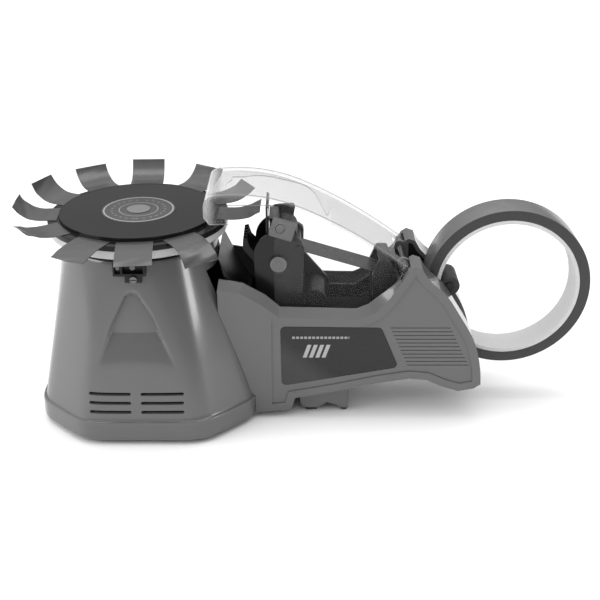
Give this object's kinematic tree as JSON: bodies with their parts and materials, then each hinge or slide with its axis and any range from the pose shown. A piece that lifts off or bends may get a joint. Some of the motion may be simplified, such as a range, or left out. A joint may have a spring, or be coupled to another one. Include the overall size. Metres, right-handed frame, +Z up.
{
  "type": "automatic carousel tape dispenser",
  "caption": "Desktop tape dispenser that feeds, cuts and lays strips of tape on a turning carousel, with a tape roll in its tail and a hinged clear cover.",
  "frame": {"origin": "middle of the bounding box at floor level, under the arm between the carousel and the roll", "axes": "+X from the carousel towards the tape roll, +Y towards the side with the controls, +Z up"},
  "size_m": [0.3176, 0.1346, 0.1324],
  "materials": {
    "body_plastic": "satin gloss grey",
    "black_plastic": "satin black",
    "disc_gloss": "high gloss black",
    "badge_foil": "fine-grained print",
    "skirt_grey": "satin light grey",
    "clear_acrylic": "clear moulded acrylic",
    "tape_film": "smooth tape backing",
    "tape_side": "wound tape edge",
    "card": "wound paper board",
    "rubber": "matt",
    "roller_rubber": "silicone, matt",
    "steel": "brushed",
    "blade_steel": "ground",
    "gear_nylon": "natural nylon",
    "brass": "sintered",
    "board_green": "solder mask",
    "chip_black": "moulded",
    "label_film": "printed film with a fine grid",
    "sensor_glass": "dark lens",
    "key_black": "gloss",
    "dark_enamel": "dark enamel on steel",
    "worn_grey": "dull grey"
  },
  "bodies": {
    "housing": {"tower_shell": "body_plastic", "base_plate": "black_plastic", "rubber_feet": "rubber", "arm_shell_near": "body_plastic", "arm_shell_far": "body_plastic", "arm_underside": "body_plastic", "side_labels": "label_film", "feed_tray": "black_plastic", "pickup_sensor": "black_plastic", "sensor_lens": "sensor_glass", "screws": "steel", "control_board": "board_green", "board_parts": "chip_black", "power_inlet": "black_plastic", "switch_frame": "black_plastic", "dial_sensor": "black_plastic", "spindle_frame": "black_plastic", "spindle_bearings": "brass", "motor_mount": "steel", "carousel_motor": "steel", "index_sensor": "black_plastic", "feeder_plate_near": "dark_enamel", "feeder_plate_far": "dark_enamel", "feed_motor": "dark_enamel", "cutter_solenoid": "dark_enamel", "fixed_blade": "blade_steel", "exit_nose": "steel", "strip_comb": "black_plastic", "clamp_block": "worn_grey", "guide_bracket": "black_plastic", "cradle_plates": "dark_enamel", "cradle_pins": "steel", "tape_web": "tape_film", "hinge_pin": "steel"},
    "carousel": {"carousel_disc": "disc_gloss", "carousel_badge": "badge_foil", "carousel_skirt": "skirt_grey", "spindle": "steel", "spindle_gear": "gear_nylon", "index_wheel": "black_plastic", "tape_strips": "tape_film"},
    "carousel_pinion": {"spindle_pinion": "gear_nylon"},
    "cover": {"clear_cover": "clear_acrylic"},
    "roll": {"tape_roll": "tape_side", "roll_core": "card"},
    "feed_roller_set": {"feed_roller": "roller_rubber", "feed_shaft": "steel", "feed_gear": "gear_nylon"},
    "middle_gear_set": {"middle_gear": "gear_nylon"},
    "feed_pinion_set": {"feed_pinion": "gear_nylon"},
    "pinch_arm": {"pinch_lever": "dark_enamel"},
    "pinch_roller_set": {"pinch_roller": "roller_rubber"},
    "guide_roller_set": {"guide_roller": "roller_rubber"},
    "support_roller_set": {"support_roller": "roller_rubber"},
    "core_arm": {"roll_arm": "dark_enamel"},
    "core_idler_set": {"core_idler": "roller_rubber"},
    "blade": {"blade_yoke": "dark_enamel", "moving_blade": "blade_steel"},
    "rocker": {"power_rocker": "key_black"},
    "dial": {"length_dial": "black_plastic"}
  },
  "joints": [
    {"name": "carousel_spin", "type": "hinge", "parent": "housing", "child": "carousel", "pos_m": [-0.09217, 0.00123, 0.116], "axis": [0, 0, 1], "continuous": true},
    {"name": "carousel_pinion_spin", "type": "hinge", "parent": "housing", "child": "carousel_pinion", "pos_m": [-0.11266, -0.01477, 0.076], "axis": [0, 0, 1], "continuous": true},
    {"name": "cover_hinge", "type": "hinge", "parent": "housing", "child": "cover", "pos_m": [0.05333, 0.00123, 0.0895], "axis": [0, 1, 0], "range_deg": [0, 62]},
    {"name": "roll_spin", "type": "hinge", "parent": "housing", "child": "roll", "pos_m": [0.11273, 0.00123, 0.0724], "axis": [0, 1, 0], "continuous": true},
    {"name": "feed_roller_spin", "type": "hinge", "parent": "housing", "child": "feed_roller_set", "pos_m": [-0.01517, 0.00123, 0.09], "axis": [0, 1, 0], "continuous": true},
    {"name": "middle_gear_spin", "type": "hinge", "parent": "housing", "child": "middle_gear_set", "pos_m": [-0.00798, 0.01963, 0.0722], "axis": [0, 1, 0], "continuous": true},
    {"name": "feed_pinion_spin", "type": "hinge", "parent": "housing", "child": "feed_pinion_set", "pos_m": [0.0041, 0.01963, 0.06435], "axis": [0, 1, 0], "continuous": true},
    {"name": "pinch_arm_lift", "type": "hinge", "parent": "housing", "child": "pinch_arm", "pos_m": [-0.00441, 0.00123, 0.09905], "axis": [0, 1, 0], "range_deg": [0, 8], "stiffness_Nm_per_rad": 0.4, "springref_deg": -8.59},
    {"name": "pinch_roller_spin", "type": "hinge", "parent": "pinch_arm", "child": "pinch_roller_set", "pos_m": [-0.01081, 0.00123, 0.10425], "axis": [0, 1, 0], "continuous": true},
    {"name": "guide_roller_spin", "type": "hinge", "parent": "housing", "child": "guide_roller_set", "pos_m": [0.045, 0.00123, 0.07474], "axis": [0, 1, 0], "continuous": true},
    {"name": "support_roller_spin", "type": "hinge", "parent": "housing", "child": "support_roller_set", "pos_m": [0.08549, 0.00123, 0.02881], "axis": [0, 1, 0], "continuous": true},
    {"name": "core_arm_swing", "type": "hinge", "parent": "housing", "child": "core_arm", "pos_m": [0.07083, 0.01193, 0.05], "axis": [0, 1, 0], "range_deg": [0, 15], "stiffness_Nm_per_rad": 0.3, "springref_deg": -8.59},
    {"name": "core_idler_spin", "type": "hinge", "parent": "core_arm", "child": "core_idler_set", "pos_m": [0.08045, 0.00123, 0.07353], "axis": [0, 1, 0], "continuous": true},
    {"name": "blade_stroke", "type": "slide", "parent": "housing", "child": "blade", "axis": [0, 0, -1], "range_m": [0, 0.004], "stiffness_N_per_m": 150, "springref_m": -0.004},
    {"name": "power_rocker_tilt", "type": "hinge", "parent": "housing", "child": "rocker", "pos_m": [0.01183, 0.03083, 0.038], "axis": [1, 0, 0], "range_deg": [-18, 0]},
    {"name": "length_dial_turn", "type": "hinge", "parent": "housing", "child": "dial", "pos_m": [0.02983, 0.03123, 0.0435], "axis": [0, 1, 0], "range_deg": [0, 270]}
  ],
  "couplings": [
    {"joint": "carousel_pinion_spin", "follows": "carousel_spin", "ratio": -3.3333},
    {"joint": "feed_roller_spin", "follows": "roll_spin", "ratio": -5.7625},
    {"joint": "middle_gear_spin", "follows": "roll_spin", "ratio": 5.7625},
    {"joint": "feed_pinion_spin", "follows": "roll_spin", "ratio": -11.525},
    {"joint": "pinch_roller_spin", "follows": "roll_spin", "ratio": 7.6833},
    {"joint": "guide_roller_spin", "follows": "roll_spin", "ratio": -9.22},
    {"joint": "support_roller_spin", "follows": "roll_spin", "ratio": -9.22},
    {"joint": "core_idler_spin", "follows": "roll_spin", "ratio": 6.9273}
  ]
}
